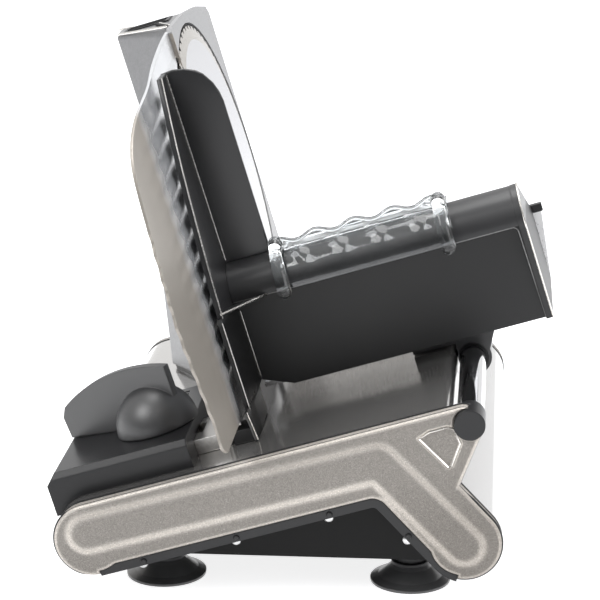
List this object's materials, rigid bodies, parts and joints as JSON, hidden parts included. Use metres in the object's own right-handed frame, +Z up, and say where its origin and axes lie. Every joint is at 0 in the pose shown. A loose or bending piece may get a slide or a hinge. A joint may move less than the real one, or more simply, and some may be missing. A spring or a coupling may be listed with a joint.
{
  "type": "food slicer",
  "caption": "Electric food slicer: serrated round blade, ribbed stop plate, tilted table on suction feet, sliding carriage with hand guard and clear food holder.",
  "frame": {"origin": "centre of the bounding box on the floor under the suction feet", "axes": "+X to the right end of the carriage, +Y to the back along the guide rod, +Z up"},
  "size_m": [0.2482, 0.3226, 0.258],
  "materials": {
    "polished_steel": "polished",
    "champagne": "sparkle satin",
    "black_plastic": "fine grain",
    "dark_plastic": "satin",
    "white_plastic": "plain",
    "black_rubber": "glossy",
    "steel_screw": "bright",
    "chrome_rod": "bright",
    "grey_paint": "satin",
    "aluminium": "plain",
    "motor_steel": "plain",
    "blade_steel": "ground",
    "tray_steel": "brushed",
    "clear_plastic": "clear"
  },
  "bodies": {
    "base": {"base_sheet": "polished_steel", "base_pan": "black_plastic", "front_cover": "champagne", "front_frame": "black_plastic", "rear_cover": "champagne", "rear_frame": "black_plastic", "cheek_screws": "steel_screw", "suction_cups": "black_rubber", "foot_necks": "black_plastic", "foot_screws": "steel_screw", "guide_rod": "chrome_rod", "rod_caps": "black_plastic", "motor_housing": "grey_paint", "housing_seat": "black_plastic", "guard_plate": "grey_paint", "guard_screws": "steel_screw", "gear_plate": "black_plastic", "gear_frame": "aluminium", "blade_shaft": "steel_screw", "middle_pin": "steel_screw", "motor_body": "motor_steel", "mains_gland": "black_rubber", "switch_bezel": "black_plastic", "control_unit": "black_plastic"},
    "blade_body": {"blade": "blade_steel", "blade_hub": "white_plastic", "blade_gear": "white_plastic", "blade_lock": "black_plastic"},
    "middle_body": {"middle_gear": "white_plastic"},
    "rotor_body": {"motor_rotor": "steel_screw"},
    "switch_body": {"switch_rocker": "dark_plastic"},
    "knob_body": {"knob": "dark_plastic", "knob_shaft": "white_plastic"},
    "stop_body": {"stop_plate": "champagne", "stop_bracket": "aluminium", "stop_foot": "aluminium"},
    "carriage": {"carriage_body": "dark_plastic", "bearing_block": "dark_plastic", "rod_bushes": "black_plastic", "tray_floor": "dark_plastic", "tray_back": "tray_steel", "tray_back_cap": "black_plastic", "carriage_screws": "steel_screw", "hand_guard": "dark_plastic", "hand_guard_screws": "steel_screw"},
    "holder": {"holder_saddle": "clear_plastic", "holder_posts": "clear_plastic", "holder_pusher": "clear_plastic"}
  },
  "joints": [
    {"name": "blade_spin", "type": "hinge", "parent": "base", "child": "blade_body", "pos_m": [-0.05173, 0.0727, 0.16982], "axis": [0.9588, 0, 0.284], "continuous": true},
    {"name": "middle_spin", "type": "hinge", "parent": "base", "child": "middle_body", "pos_m": [-0.0567, 0.08176, 0.13309], "axis": [0.9588, 0, 0.284], "continuous": true},
    {"name": "rotor_spin", "type": "hinge", "parent": "base", "child": "rotor_body", "pos_m": [-0.06075, 0.10961, 0.11155], "axis": [0.9588, 0, 0.284], "continuous": true},
    {"name": "switch_rock", "type": "hinge", "parent": "base", "child": "switch_body", "pos_m": [-0.09556, 0.0727, 0.25018], "axis": [0.9588, 0, 0.284], "range_deg": [0, 12]},
    {"name": "stop_slide", "type": "slide", "parent": "base", "child": "stop_body", "axis": [0.9588, 0, 0.284], "range_m": [-0.0145, 0.0015]},
    {"name": "knob_turn", "type": "hinge", "parent": "base", "child": "knob_body", "pos_m": [-0.07242, -0.0738, 0.07347], "axis": [-0.284, 0, 0.9588], "range_deg": [-13.6, 130]},
    {"name": "carriage_slide", "type": "slide", "parent": "base", "child": "carriage", "axis": [0, 1, 0], "range_m": [-0.034, 0.107]},
    {"name": "holder_slide", "type": "slide", "parent": "carriage", "child": "holder", "axis": [0.9588, 0, 0.284], "range_m": [0, 0.031]}
  ],
  "couplings": [
    {"joint": "middle_spin", "follows": "blade_spin", "ratio": -4},
    {"joint": "rotor_spin", "follows": "blade_spin", "ratio": 18.667},
    {"joint": "knob_turn", "follows": "stop_slide", "rad_per_m": -156.25}
  ]
}
